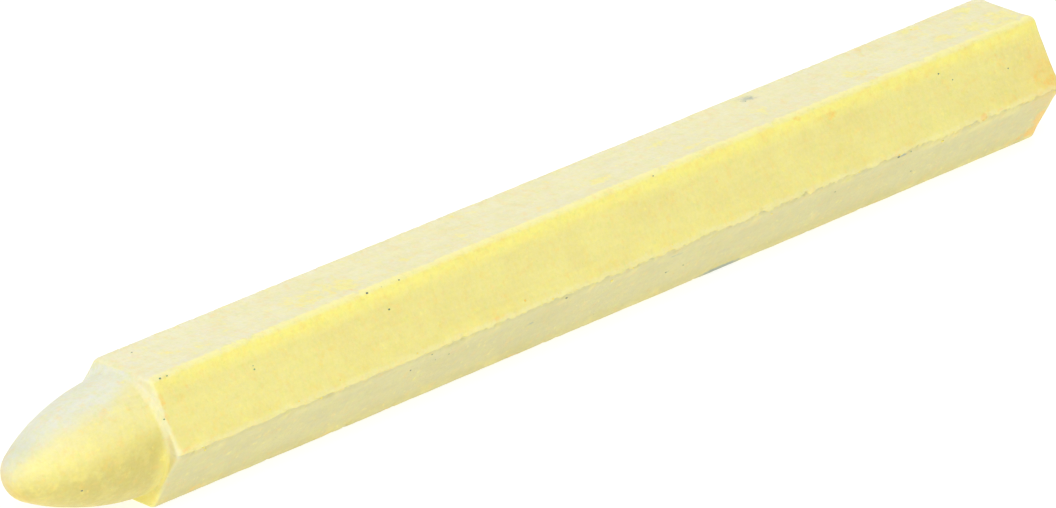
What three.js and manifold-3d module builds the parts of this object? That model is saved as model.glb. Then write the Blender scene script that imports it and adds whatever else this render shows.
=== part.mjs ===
// A hexagonal marking crayon: one moulded stick of pigmented wax with a bluntly pointed writing end.
//
// Millimetres. The stick lies on one of its six flats. +X runs along it from the writing tip to the butt,
// +Z is up, and the origin is on the surface that it lies on, under the middle of its length.

import * as THREE from "three";
import { mergeVertices } from "three/addons/utils/BufferGeometryUtils.js";
import Module from "manifold-3d";

// Overall sizes.
const OVERALL_LENGTH = 120;
const ACROSS_FLATS = 11.3;

// Writing end: a round ogive that stands on the hexagon's front face, the shoulder.
const NOSE_LENGTH = 12.7; // from the shoulder to the tip
const SHOULDER_LAND = 0.4; // flat left between the root of the nose and the middle of each side
const ROOT_TAPER = THREE.MathUtils.degToRad(2); // how far the nose's side already leans in at its root
const TIP_RADIUS = 2.5;
const ROOT_DEPTH = 2; // how far the nose's solid runs back into the body, to be joined to it

// Roundings that the mould leaves.
const LONG_EDGE_RADIUS = 0.8;
const BUTT_RADIUS = 0.5;
const SHOULDER_RADIUS = 0.3;

// Smoothness of the facets.
const EDGE_STEPS = 8; // on each long edge
const ROUNDING_STEPS = 6; // on the rim of the butt and of the shoulder
const PROFILE_STEPS = 9; // twice this on each arc of the nose's profile
const TURN_STEPS = 72; // around the nose

const SIDES = 6;
const WAX_YELLOW = 0xf0e68f;

const axisHeight = ACROSS_FLATS / 2;
const buttX = OVERALL_LENGTH / 2;
const tipX = -OVERALL_LENGTH / 2;
const shoulderX = tipX + NOSE_LENGTH;
const bodyLength = buttX - shoulderX;

const wasm = await Module();
wasm.setup();

/** A three.js geometry as a solid that can be joined and cut. */
function toSolid(geometry) {
  const bare = geometry.clone();
  bare.deleteAttribute("normal");
  bare.deleteAttribute("uv");
  const merged = mergeVertices(bare, 1e-4);
  return new wasm.Manifold(
    new wasm.Mesh({
      numProp: 3,
      vertProperties: merged.attributes.position.array,
      triVerts: new Uint32Array(merged.index.array),
    }),
  );
}

/** A solid as a three.js geometry, with a normal for each facet. */
function toGeometry(solid) {
  const mesh = solid.getMesh();
  const geometry = new THREE.BufferGeometry();
  geometry.setAttribute("position", new THREE.BufferAttribute(mesh.vertProperties, mesh.numProp));
  geometry.setIndex(new THREE.BufferAttribute(mesh.triVerts, 1));
  const faceted = geometry.toNonIndexed();
  faceted.computeVertexNormals();
  return faceted;
}

/** The hexagon's outline, with a corner on each side and a flat at the top and the bottom. */
function hexagonOutline() {
  const halfTurn = Math.PI / SIDES;
  const cornerDistance = (ACROSS_FLATS / 2 - LONG_EDGE_RADIUS) / Math.cos(halfTurn);
  const outline = new THREE.Shape();
  for (let corner = 0; corner < SIDES; corner++) {
    const angle = corner * 2 * halfTurn;
    const x = cornerDistance * Math.cos(angle);
    const y = cornerDistance * Math.sin(angle);
    outline.absarc(x, y, LONG_EDGE_RADIUS, angle - halfTurn, angle + halfTurn, false);
  }
  outline.closePath();
  return outline;
}

/** A hexagonal prism from startX to endX along the stick, with both its rims rounded to one radius. */
function roundedPrism(startX, endX, rimRadius) {
  const geometry = new THREE.ExtrudeGeometry(hexagonOutline(), {
    depth: endX - startX - 2 * rimRadius,
    curveSegments: EDGE_STEPS / 2,
    steps: 1,
    bevelEnabled: true,
    bevelThickness: rimRadius,
    bevelSize: rimRadius,
    bevelOffset: -rimRadius,
    bevelSegments: ROUNDING_STEPS,
  });
  const acrossUpAlong = new THREE.Matrix4().makeBasis(
    new THREE.Vector3(0, 1, 0),
    new THREE.Vector3(0, 0, 1),
    new THREE.Vector3(1, 0, 0),
  );
  geometry.applyMatrix4(acrossUpAlong);
  geometry.translate(startX + rimRadius, 0, axisHeight);
  return toSolid(geometry);
}

/** The body: one prism has the shoulder's rim and the other the butt's, and each runs past the other's end. */
function bodySolid() {
  const withShoulder = roundedPrism(shoulderX, buttX + bodyLength, SHOULDER_RADIUS);
  const withButt = roundedPrism(shoulderX - bodyLength, buttX, BUTT_RADIUS);
  return withShoulder.intersect(withButt);
}

/** The nose's half profile, radius against distance from the shoulder: a long flank arc, tangent to the tip's. */
function noseProfile() {
  const rootRadius = ACROSS_FLATS / 2 - SHOULDER_LAND;
  const tipCentre = NOSE_LENGTH - TIP_RADIUS;
  const spread = rootRadius * Math.cos(ROOT_TAPER) - tipCentre * Math.sin(ROOT_TAPER) - TIP_RADIUS;
  const flankRadius = (tipCentre ** 2 + rootRadius ** 2 - TIP_RADIUS ** 2) / (2 * spread);
  const flankX = rootRadius - flankRadius * Math.cos(ROOT_TAPER);
  const flankY = -flankRadius * Math.sin(ROOT_TAPER);
  const meeting = Math.atan2(tipCentre - flankY, -flankX);
  const profile = new THREE.Path();
  profile.moveTo(0, -ROOT_DEPTH);
  profile.lineTo(rootRadius, -ROOT_DEPTH);
  profile.absarc(flankX, flankY, flankRadius, ROOT_TAPER, meeting, false);
  profile.absarc(0, tipCentre, TIP_RADIUS, meeting, Math.PI / 2, false);
  const points = profile.getPoints(PROFILE_STEPS);
  points[points.length - 1].x = 0;
  return points;
}

/** The nose, turned to point along -X from the shoulder. */
function noseSolid() {
  const geometry = new THREE.LatheGeometry(noseProfile(), TURN_STEPS);
  geometry.rotateZ(Math.PI / 2);
  geometry.translate(shoulderX, 0, axisHeight);
  return toSolid(geometry);
}

/** The whole stick: body and nose are moulded in one pour. */
function crayonStick() {
  const geometry = toGeometry(bodySolid().add(noseSolid()));
  const wax = new THREE.MeshStandardMaterial({ color: WAX_YELLOW, roughness: 0.5, metalness: 0 });
  const mesh = new THREE.Mesh(geometry, wax);
  mesh.name = "crayon_stick";
  return mesh;
}

const crayon = new THREE.Group();
crayon.add(crayonStick());

export default crayon;
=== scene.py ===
"""A hexagonal marking crayon of yellow wax, built and dressed around its CAD frame.

The CAD part is one moulded stick. Here it is grown again from the rule of its shape, at the same sizes and
with a finer surface: a rounded hexagon drawn along the axis, rolled over at the butt and at the shoulder, and an
ogive nose. The mould's parting line, the chipped edges, the soft waves of the flats and the crumbs of wax that
cling to the stick are real geometry. Bloom, rubbed edges, specks, scuffs and grain are in the wax's material.
Painted light and shade are in it too: the pale film on the top and the far side is partly painted sheen, the
nose has a painted sheen above and painted shade below, the shoulder, the crest of the rubbed edge and the lip of
the parting line have painted highlights, and the lower faces and the step of the parting line painted shade.

Pieces are built in metres, in the CAD frame: +X runs from the writing tip to the butt, +Z is up and the floor
is z = 0. Relief, marks and the patterns of the finishes are worked out in millimetres.
"""

import logging
import math
from collections.abc import Callable
from dataclasses import dataclass, field, fields, replace
from enum import Enum

import bpy
import numpy as np
from mathutils import Matrix, Vector


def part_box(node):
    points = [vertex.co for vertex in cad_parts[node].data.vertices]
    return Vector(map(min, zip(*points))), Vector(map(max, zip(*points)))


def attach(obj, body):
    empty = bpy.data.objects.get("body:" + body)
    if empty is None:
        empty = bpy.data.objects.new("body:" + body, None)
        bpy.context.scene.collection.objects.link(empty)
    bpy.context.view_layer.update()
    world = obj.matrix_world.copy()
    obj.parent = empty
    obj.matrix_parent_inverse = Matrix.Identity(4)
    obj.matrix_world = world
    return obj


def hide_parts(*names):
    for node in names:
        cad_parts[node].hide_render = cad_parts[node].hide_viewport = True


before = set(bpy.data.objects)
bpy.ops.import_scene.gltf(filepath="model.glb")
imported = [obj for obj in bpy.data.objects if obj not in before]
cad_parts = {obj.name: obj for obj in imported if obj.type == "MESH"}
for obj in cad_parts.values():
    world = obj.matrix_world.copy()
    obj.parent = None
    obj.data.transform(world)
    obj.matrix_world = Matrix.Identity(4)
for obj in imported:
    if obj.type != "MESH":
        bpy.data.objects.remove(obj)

LOG = logging.getLogger("crayon")
MM = 0.001
NODE = "crayon_stick"
BODY = "root"
PARTING = "parting"
SIDES = 6
HALF_TURN = math.pi / SIDES

Colour = tuple[float, float, float, float]


def srgb(code: str) -> Colour:
    """Turn a display colour into the linear one that shaders take.

    Args:
        code: the colour as six hexadecimal digits, such as "f0e68f".

    Returns:
        Linear red, green, blue and an alpha of 1.
    """
    channels = [int(code[i:i + 2], 16) / 255 for i in (0, 2, 4)]
    linear = [c / 12.92 if c <= 0.04045 else ((c + 0.055) / 1.055) ** 2.4 for c in channels]
    return (linear[0], linear[1], linear[2], 1.0)


def operator(operation: str, reflected: bool = False) -> Callable[["Wire", "Value"], "Wire"]:
    """Make a method of Wire that adds one Math node.

    Args:
        operation: what the node does with its two values.
        reflected: whether the wire is its second value.

    Returns:
        The method, which takes the other value.
    """
    def method(self: "Wire", other: "Value") -> "Wire":
        """Add the node on the wire and the other value."""
        values = (other, self) if reflected else (self, other)
        return self.board.math(operation, *values)
    return method


class Wire:
    """An output of a node. Arithmetic and the methods below add nodes behind it."""

    def __init__(self, board: "Board", socket: bpy.types.NodeSocket) -> None:
        """Hold `socket`, which belongs to a node on `board`."""
        self.board = board
        self.socket = socket

    __add__, __radd__ = operator("ADD"), operator("ADD", reflected=True)
    __sub__, __rsub__ = operator("SUBTRACT"), operator("SUBTRACT", reflected=True)
    __mul__, __rmul__ = operator("MULTIPLY"), operator("MULTIPLY", reflected=True)
    __truediv__, __rtruediv__ = operator("DIVIDE"), operator("DIVIDE", reflected=True)
    __pow__ = operator("POWER")
    at_least, at_most = operator("MAXIMUM"), operator("MINIMUM")

    def __neg__(self) -> "Wire":
        """Minus self."""
        return self * -1.0

    def __abs__(self) -> "Wire":
        """Self without its sign."""
        return self.board.math("ABSOLUTE", self)

    def cos(self) -> "Wire":
        """The cosine of an angle."""
        return self.board.math("COSINE", self)

    def sin(self) -> "Wire":
        """The sine of an angle."""
        return self.board.math("SINE", self)

    def ramp(self, low: "Value", high: "Value", smooth: bool = True) -> "Wire":
        """Rise from 0 to 1 as the number goes from `low` to `high`, softly or in a straight line.

        Args:
            low: the value that gives 0.
            high: the value that gives 1, which may be the lower of the two.
            smooth: whether the ends ease in and out.

        Returns:
            The rise, clamped to 0 and 1.
        """
        kind = "SMOOTHSTEP" if smooth else "LINEAR"
        return self.board.add("ShaderNodeMapRange", {"interpolation_type": kind},
                              {"Value": self, "From Min": low, "From Max": high})

    def noise(self, scale: float, detail: float = 2.0, roughness: float = 0.5, seed: "Value" = 0.0) -> "Wire":
        """Fractal noise from 0 to 1 at this place.

        Args:
            scale: how many of its lumps fit in a millimetre.
            detail: how many finer octaves are added.
            roughness: how strong the finer octaves are.
            seed: which of its patterns is used.

        Returns:
            The noise's value.
        """
        sockets = {"Vector": self, "W": seed, "Scale": scale, "Detail": detail, "Roughness": roughness}
        return self.board.add("ShaderNodeTexNoise", {"noise_dimensions": "4D"}, sockets)

    def sway(self, amount: float, scale: float, detail: float, roughness: float = 0.5,
             seed: "Value" = 0.0) -> "Wire":
        """Fractal noise at this place from minus `amount` to `amount`, otherwise as `noise`."""
        return (self.noise(scale, detail, roughness, seed) - 0.5) * (2 * amount)

    def parts(self) -> tuple["Wire", "Wire", "Wire"]:
        """The three numbers of a vector."""
        made = self.board.node("ShaderNodeSeparateXYZ", None, {"Vector": self})
        return self.board.out(made, "X"), self.board.out(made, "Y"), self.board.out(made, "Z")

    def scaled(self, factor: "Value") -> "Wire":
        """A vector times a number."""
        return self.board.add("ShaderNodeVectorMath", {"operation": "SCALE"}, {0: self, "Scale": factor})

    def plus(self, other: "Wire") -> "Wire":
        """A vector plus another."""
        return self.board.add("ShaderNodeVectorMath", {"operation": "ADD"}, {0: self, 1: other})

    def blend(self, factor: "Value", over: object, mode: str = "MIX") -> "Wire":
        """A colour with `over` laid on it."""
        return self.board.blend(factor, self, over, mode)


Value = Wire | float


class Board:
    """A node tree being wired, of a material or of Geometry Nodes."""

    def __init__(self, tree: bpy.types.NodeTree) -> None:
        """Start on `tree` as it is."""
        self.tree = tree

    def node(self, kind: str, settings: dict | None = None, sockets: dict | None = None) -> bpy.types.Node:
        """Add a node.

        Args:
            kind: the node's type name.
            settings: its properties, which are set first.
            sockets: values or wires for its inputs, by name or index.

        Returns:
            The new node.
        """
        made = self.tree.nodes.new(kind)
        for name, value in (settings or {}).items():
            setattr(made, name, value)
        for key, value in (sockets or {}).items():
            self.feed(self.find(made.inputs, key), value)
        return made

    @staticmethod
    def find(sockets: bpy.types.bpy_prop_collection, key: str | int) -> bpy.types.NodeSocket:
        """Find a socket by its index, its identifier or its name, in that order."""
        if isinstance(key, int):
            return sockets[key]
        return next((s for s in sockets if s.identifier == key), None) or sockets[key]

    def feed(self, socket: bpy.types.NodeSocket, value: object) -> None:
        """Link a wire into `socket`, or set its value."""
        if isinstance(value, Wire):
            self.tree.links.new(value.socket, socket)
        else:
            socket.default_value = value

    def out(self, made: bpy.types.Node, key: str | int = 0) -> Wire:
        """Wrap one output of a node."""
        return Wire(self, self.find(made.outputs, key))

    def add(self, kind: str, settings: dict | None = None, sockets: dict | None = None,
            key: str | int = 0) -> Wire:
        """Add a node as `node` does, and wrap the output `key`."""
        return self.out(self.node(kind, settings, sockets), key)

    def math(self, operation: str, *values: Value) -> Wire:
        """Add a Math node on the given values."""
        return self.add("ShaderNodeMath", {"operation": operation}, dict(enumerate(values)))

    def vector(self, x: Value = 0.0, y: Value = 0.0, z: Value = 0.0) -> Wire:
        """A vector of three numbers."""
        return self.add("ShaderNodeCombineXYZ", None, {"X": x, "Y": y, "Z": z})

    def mix(self, factor: Value, first: Value, second: Value) -> Wire:
        """Blend two numbers: `first` at a factor of 0 and `second` at 1."""
        sockets = {"Factor_Float": factor, "A_Float": first, "B_Float": second}
        return self.add("ShaderNodeMix", {"data_type": "FLOAT"}, sockets, "Result_Float")

    def blend(self, factor: Value, first: object, second: object, mode: str = "MIX") -> Wire:
        """Blend two colours: `first` at a factor of 0, and `second` laid over it by `mode` at 1."""
        settings = {"data_type": "RGBA", "blend_type": mode}
        sockets = {"Factor_Float": factor, "A_Color": first, "B_Color": second}
        return self.add("ShaderNodeMix", settings, sockets, "Result_Color")

    def painted(self, name: str) -> Wire:
        """One of the numbers stored on the mesh, in a material."""
        return self.add("ShaderNodeAttribute", {"attribute_name": name}, None, "Fac")

    def bump(self, height: Wire, strength: float, distance: float) -> Wire:
        """A normal tilted by a height, which counts `distance` millimetres at most."""
        sockets = {"Height": height, "Strength": strength, "Distance": distance * MM}
        return self.add("ShaderNodeBump", None, sockets, "Normal")


@dataclass(frozen=True)
class StickSizes:
    """The stick's sizes, in metres. The length and the width across flats come from the CAD frame."""

    tip_x: float
    butt_x: float
    across_flats: float
    nose_length: float = 12.7 * MM
    shoulder_land: float = 0.4 * MM
    root_taper: float = math.radians(2)
    tip_radius: float = 2.5 * MM
    long_edge_radius: float = 0.8 * MM
    butt_radius: float = 0.5 * MM
    shoulder_radius: float = 0.3 * MM

    @classmethod
    def from_frame(cls) -> "StickSizes":
        """Read the overall sizes off the CAD node's box."""
        low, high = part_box(NODE)
        return cls(tip_x=low.x, butt_x=high.x, across_flats=high.z - low.z)

    def in_millimetres(self) -> "StickSizes":
        """The same sizes in millimetres."""
        lengths = [item.name for item in fields(self) if item.name != "root_taper"]
        return replace(self, **{name: getattr(self, name) / MM for name in lengths})

    @property
    def axis_height(self) -> float:
        """How high the centre line is above the floor."""
        return self.across_flats / 2

    @property
    def shoulder_x(self) -> float:
        """Where the nose stands on the body."""
        return self.tip_x + self.nose_length

    @property
    def root_radius(self) -> float:
        """How thick the nose is where it stands on the body."""
        return self.axis_height - self.shoulder_land

    @property
    def corner_reach(self) -> float:
        """From the centre line to the crest of a long edge."""
        return (self.axis_height - self.long_edge_radius) / math.cos(HALF_TURN) + self.long_edge_radius


class Spot:
    """A place on the stick, as wires in millimetres."""

    def __init__(self, place: Wire, sizes: StickSizes) -> None:
        """Take `place` apart, on a stick of `sizes` in millimetres."""
        self.board = place.board
        self.place = place
        self.sizes = sizes
        self.x, self.y, self.z = place.parts()
        self.up = self.z - sizes.axis_height
        self.ahead = sizes.shoulder_x - self.x
        self.radius = self.board.math("SQRT", self.y ** 2.0 + self.up ** 2.0)

    def edge_reach(self) -> Wire:
        """How far out the place is towards the nearest long edge."""
        reach = abs(self.y)
        for corner in (1, 2):
            angle = corner * 2 * HALF_TURN
            reach = reach.at_least(abs(self.y * math.cos(angle) + self.up * math.sin(angle)))
        return reach

    def past_shoulder(self, start: float, full: float) -> Wire:
        """Rise from 0 to 1 between two distances behind the shoulder."""
        return self.x.ramp(self.sizes.shoulder_x + start, self.sizes.shoulder_x + full)

    def to_butt(self, start: float, full: float) -> Wire:
        """Rise from 0 to 1 between two distances before the butt."""
        return self.x.ramp(self.sizes.butt_x - start, self.sizes.butt_x - full)

    def to_tip(self, start: float, full: float) -> Wire:
        """Rise from 0 to 1 between two distances behind the tip."""
        return self.x.ramp(self.sizes.tip_x + start, self.sizes.tip_x + full)

    def to_side_edge(self, start: float, full: float) -> Wire:
        """Rise from 0 to 1 between two distances inside the crests of the two edges at the sides."""
        return abs(self.y).ramp(self.sizes.corner_reach - start, self.sizes.corner_reach - full)


class TreeMaker:
    """A Geometry Nodes tree with named inputs, and the modifier that runs it."""

    def __init__(self, name: str) -> None:
        """Start an empty tree called `name`, with geometry in and out."""
        self.tree = bpy.data.node_groups.new(name, "GeometryNodeTree")
        self.board = Board(self.tree)
        self.values: dict[str, object] = {}
        for way in ("INPUT", "OUTPUT"):
            self.tree.interface.new_socket(name="Geometry", in_out=way, socket_type="NodeSocketGeometry")
        self.entry = self.board.node("NodeGroupInput")
        self.exit = self.board.node("NodeGroupOutput")

    def input(self, name: str, value: object, kind: str = "Float") -> Wire:
        """Add a named input.

        Args:
            name: what the modifier's panel calls it.
            value: what the modifier sets it to.
            kind: Float, Int or Material.

        Returns:
            The wire that carries it into the tree.
        """
        item = self.tree.interface.new_socket(name=name, in_out="INPUT", socket_type="NodeSocket" + kind)
        self.values[item.identifier] = value
        return self.board.out(self.entry, item.identifier)

    def then(self, geometry: Wire, kind: str, sockets: dict | None = None,
             settings: dict | None = None) -> Wire:
        """Pass geometry on through one more node.

        Args:
            geometry: what goes in.
            kind: the node's type name, without its first two words.
            sockets: its other inputs.
            settings: its properties.

        Returns:
            What comes out.
        """
        return self.board.add("GeometryNode" + kind, settings, {"Geometry": geometry} | (sockets or {}))

    def spot(self, sizes: StickSizes) -> Spot:
        """Where each point is, on a stick of `sizes` in millimetres."""
        return Spot(self.board.add("GeometryNodeInputPosition").scaled(1 / MM), sizes)

    def along_normal(self, distance: Wire) -> Wire:
        """A move outwards by a distance in millimetres."""
        return self.board.add("GeometryNodeInputNormal").scaled(distance * MM)

    def lumps(self, points: Wire, rotation: Wire, scale: Wire, unevenness: float) -> Wire:
        """Stand a knobbly little lump on each point.

        Args:
            points: the points.
            rotation: how each lump is turned.
            scale: each lump's half sizes, in metres.
            unevenness: how far its surface strays, in millimetres.

        Returns:
            The lumps, as real geometry.
        """
        board = self.board
        lump = board.add("GeometryNodeMeshIcoSphere", None, {"Radius": 1.0, "Subdivisions": 2})
        placed = board.add("GeometryNodeInstanceOnPoints", None,
                           {"Points": points, "Instance": lump, "Rotation": rotation, "Scale": scale})
        real = self.then(placed, "RealizeInstances")
        place = board.add("GeometryNodeInputPosition").scaled(1 / MM)
        uneven = place.sway(unevenness / 2, 6.0, 1.0)
        knobbly = self.then(real, "SetPosition", {"Offset": self.along_normal(uneven)})
        return self.then(knobbly, "SetShadeSmooth")

    def close(self, geometry: Wire, material: Wire) -> None:
        """End the tree: real geometry only, in one material."""
        dressed = self.then(self.then(geometry, "RealizeInstances"), "SetMaterial", {"Material": material})
        self.board.feed(self.exit.inputs["Geometry"], dressed)

    def grow(self, name: str, start: bpy.types.Mesh | None = None) -> bpy.types.Object:
        """Run the tree once and keep its result as a plain mesh.

        Args:
            name: the new piece's name.
            start: the mesh that the tree is given, or None for an empty one.

        Returns:
            The piece's object, at the origin, with no modifier left on it.
        """
        piece = bpy.data.objects.new(name, start or bpy.data.meshes.new(name + "_seed"))
        bpy.context.scene.collection.objects.link(piece)
        modifier = piece.modifiers.new(self.tree.name, "NODES")
        modifier.node_group = self.tree
        for identifier, value in self.values.items():
            modifier[identifier] = value
        depsgraph = bpy.context.evaluated_depsgraph_get()
        grown = bpy.data.meshes.new_from_object(piece.evaluated_get(depsgraph), preserve_all_data_layers=True,
                                                depsgraph=depsgraph)
        piece.modifiers.remove(modifier)
        piece.data = grown
        grown.name = name
        return piece


@dataclass(frozen=True)
class Relief:
    """How far the cast surface strays from its ideal shape, in millimetres."""

    long_wave: float = 0.05
    short_wave: float = 0.018
    edge_wave: float = 0.05
    edge_swell: float = 0.08
    chip_depth: float = 0.16
    ridge_height: float = 0.12
    ridge_half_width: float = 0.16
    half_mismatch: float = 0.1
    parting_wander: float = 0.2
    parting_teeth: float = 0.6
    butt_dish: float = 0.12
    root_groove: float = 0.04
    upper_fillet: float = 0.75
    lower_fillet: float = 0.12
    nose_dent: float = 0.05


@dataclass(frozen=True)
class Facets:
    """How many steps the grown surface has along each stretch of its outline, butt to tip, and around it."""

    butt_face: int = 16
    butt_rim: int = 7
    flat: int = 400
    shoulder_rim: int = 4
    shoulder_land: int = 5
    flank: int = 50
    tip: int = 14
    flat_columns: int = 18
    edge_columns: int = 12


class StickTree(TreeMaker):
    """The tree that grows the stick: a grid of rows along its outline and columns around its section."""

    def __init__(self, sizes: StickSizes, relief: Relief, facets: Facets, wax: bpy.types.Material) -> None:
        """Wire the whole tree for these sizes."""
        super().__init__("stick")
        self.mm, self.relief, self.facets = sizes.in_millimetres(), relief, facets
        self.butt_x = self.input("Butt Position", sizes.butt_x)
        self.apothem = self.input("Across Flats", sizes.across_flats) * 0.5
        self.body_length = self.input("Body Length", sizes.butt_x - sizes.shoulder_x)
        self.nose_length = self.input("Nose Length", sizes.nose_length)
        self.root_radius = self.apothem - self.input("Shoulder Land", sizes.shoulder_land)
        self.taper = self.input("Root Taper", sizes.root_taper)
        self.tip_radius = self.input("Tip Radius", sizes.tip_radius)
        self.edge_radius = self.input("Long Edge Radius", sizes.long_edge_radius)
        self.butt_radius = self.input("Butt Radius", sizes.butt_radius)
        self.shoulder_radius = self.input("Shoulder Radius", sizes.shoulder_radius)
        self.seed = self.input("Seed", 4.0)
        self.roughness = self.input("Relief", 1.0)
        material = self.input("Wax", wax, "Material")
        grid, steps, column = self._grid()
        shaped = self.then(grid, "SetPosition", {"Position": self._place(steps, column)})
        closed = self.then(shaped, "MergeByDistance", {"Distance": 1e-6})
        parting, offset = self._relief()
        marked = self.then(closed, "StoreNamedAttribute", {"Name": PARTING, "Value": parting},
                           {"data_type": "FLOAT", "domain": "POINT"})
        cast = self.then(marked, "SetPosition", {"Offset": offset})
        x, y, z = self.board.add("GeometryNodeInputPosition").parts()
        resting = self.then(cast, "SetPosition", {"Position": self.board.vector(x, y, z.at_least(0.0))})
        self.close(self.then(resting, "SetShadeSmooth"), material)

    def _grid(self) -> tuple[Wire, list[Wire], Wire]:
        """Lay out the flat grid.

        Returns:
            The grid, how far each row is through each stretch of the outline (0 before it, 1 past it), and
            each column's number.
        """
        *counts, self.flat_columns, self.edge_columns = [
            self.input(item.name.replace("_", " ").title(), getattr(self.facets, item.name), "Int")
            for item in fields(self.facets)]
        rows = sum(counts[1:], start=counts[0])
        columns = (self.flat_columns + self.edge_columns) * SIDES
        grid = self.board.add("GeometryNodeMeshGrid", None, {
            "Size X": rows, "Size Y": columns, "Vertices X": rows + 1.0, "Vertices Y": columns + 1.0})
        x, y, _ = self.board.add("GeometryNodeInputPosition").parts()
        row = self.board.math("ROUND", x + rows * 0.5)
        column = self.board.math("ROUND", y + columns * 0.5)
        steps = []
        start: Value = 0.0
        for count in counts:
            steps.append(row.ramp(start, start + count, smooth=False))
            start = start + count
        return grid, steps, column

    def _section(self, column: Wire, inset: Wire) -> tuple[Wire, Wire, Wire]:
        """A column's place on the rounded hexagon.

        Args:
            column: the column's number.
            inset: how far the section has drawn in from the flats.

        Returns:
            The place across and up from the centre line, and its direction around that line.
        """
        pitch = self.flat_columns + self.edge_columns
        side = self.board.math("FLOOR", column / pitch)
        along = column - side * pitch - pitch * 0.5
        sign = self.board.math("SIGN", along)
        flat = abs(along).ramp(0.0, self.flat_columns * 0.5, smooth=False)
        turn = abs(along).ramp(self.flat_columns * 0.5, pitch * 0.5, smooth=False) * HALF_TURN
        core = self.apothem - self.edge_radius

        def rounded(radius: Wire) -> tuple[Wire, Wire]:
            """The place out from the centre line and over along the side, with edges of one radius."""
            return core + radius * turn.cos(), sign * (flat * core * math.tan(HALF_TURN) + radius * turn.sin())

        out, over = rounded(self.edge_radius - inset)
        full_out, full_over = rounded(self.edge_radius)
        normal = side * (2 * HALF_TURN) + HALF_TURN
        heading = normal + self.board.math("ARCTAN2", full_over, full_out)
        return out * normal.cos() - over * normal.sin(), out * normal.sin() + over * normal.cos(), heading

    def _nose(self, flank: Wire, tip: Wire) -> tuple[Wire, Wire]:
        """The nose's half profile: a long arc, tangent to the tip's.

        Args:
            flank: how far a row is along the long arc.
            tip: how far it is along the tip's arc.

        Returns:
            The profile's radius there, and its distance from the shoulder.
        """
        centre = self.nose_length - self.tip_radius
        cosine, sine = self.taper.cos(), self.taper.sin()
        spread = self.root_radius * cosine - centre * sine - self.tip_radius
        squares = centre ** 2.0 + self.root_radius ** 2.0 - self.tip_radius ** 2.0
        flank_radius = squares / (spread * 2.0)
        flank_x = self.root_radius - flank_radius * cosine
        flank_y = -flank_radius * sine
        meeting = self.board.math("ARCTAN2", centre - flank_y, -flank_x)
        angle = self.taper + flank ** 1.25 * (meeting - self.taper)
        tip_angle = meeting + tip * (math.pi / 2 - meeting)
        radius = flank_x + flank_radius * angle.cos() + self.tip_radius * (tip_angle.cos() - meeting.cos())
        ahead = flank_y + flank_radius * angle.sin() + self.tip_radius * (tip_angle.sin() - meeting.sin())
        return radius, ahead

    def _place(self, steps: list[Wire], column: Wire) -> Wire:
        """Where each point of the grid goes on the ideal stick.

        Args:
            steps: how far its row is through each stretch of the outline.
            column: its column's number.

        Returns:
            The place, in metres.
        """
        face, rim, flats, roll, land, flank, tip = steps
        rim, roll = rim * (math.pi / 2), roll * (math.pi / 2)
        inset = self.butt_radius * (1.0 - rim.sin()) + self.shoulder_radius * (1.0 - roll.cos())
        across, up, heading = self._section(column, inset)
        radius, ahead = self._nose(flank, tip)
        radius = radius.at_least(0.0)
        straight = self.body_length - self.butt_radius - self.shoulder_radius
        x = self.butt_x - self.butt_radius * (1.0 - rim.cos()) - flats * straight
        x = x - self.shoulder_radius * roll.sin() - ahead
        eased = land.ramp(0.0, 1.0)
        y = self.board.mix(eased, across * face, radius * heading.cos())
        z = self.board.mix(eased, up * face, radius * heading.sin())
        return self.board.vector(x, y, z + self.apothem)

    def _relief(self) -> tuple[Wire, Wire]:
        """Work out how the cast surface strays from the ideal one.

        Returns:
            The height above the mould's parting line in millimetres, and the offset as a vector in metres.
        """
        relief, mm, seed = self.relief, self.mm, self.seed
        at = self.spot(mm)
        wander = self.board.vector(at.x).sway(relief.parting_wander, 0.3, 1.0, seed=seed + 19.0)
        teeth = at.place.sway(relief.parting_teeth, 1.8, 3.0, 0.7, seed + 20.0)
        parting = at.up - wander - teeth * self.board.mix(at.x.ramp(mm.shoulder_x, 30.0), 0.25, 1.0)
        on_body = at.past_shoulder(0.1, 0.6)
        long_wave = at.place.sway(relief.long_wave, 0.07, 1.0, seed=seed)
        short_wave = at.place.sway(relief.short_wave, 0.45, 2.0, seed=seed + 3.0)
        edge_wave = at.place.sway(relief.edge_wave, 0.55, 3.0, seed=seed + 7.0)
        chips = at.place.noise(0.8, 3.0, 0.6, seed + 11.0).ramp(0.56, 0.7)
        edge = at.edge_reach().ramp(mm.corner_reach - 0.75, mm.corner_reach - 0.05) * on_body
        dents = at.place.sway(relief.nose_dent, 0.28, 2.0, seed=seed + 31.0)
        dish = at.radius.ramp(mm.axis_height - 1.0, 0.0) * at.to_butt(0.3, 0.0)
        away = long_wave + short_wave + edge * (relief.edge_swell + edge_wave - chips * relief.chip_depth)
        away = away + self._ridge(at, parting) * on_body * at.to_butt(0.05, 0.6)
        away = away + dents * (1.0 - on_body) + self._groove(at) - dish * relief.butt_dish
        moved = self._mismatch(at, parting, on_body).plus(self._fillet(at))
        return parting, self.along_normal(away * self.roughness).plus(moved)

    def _ridge(self, at: Spot, parting: Wire) -> Wire:
        """The broken line of flash where the mould's halves meet, on the two edges at the sides."""
        near = abs(parting).ramp(self.relief.ridge_half_width, 0.0)
        torn = at.place.noise(1.1, 3.0, 0.65, self.seed + 23.0).ramp(0.36, 0.66)
        return near * at.to_side_edge(0.6, 0.2) * (0.2 + torn * 0.8) * self.relief.ridge_height

    def _groove(self, at: Spot) -> Wire:
        """The groove in the crease between nose and shoulder, on the lower half."""
        ring = abs(at.radius - self.mm.root_radius).ramp(0.35, 0.0)
        near = abs(at.ahead).ramp(0.4, 0.0)
        return ring * near * at.up.ramp(1.0, -1.5) * -self.relief.root_groove

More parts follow.
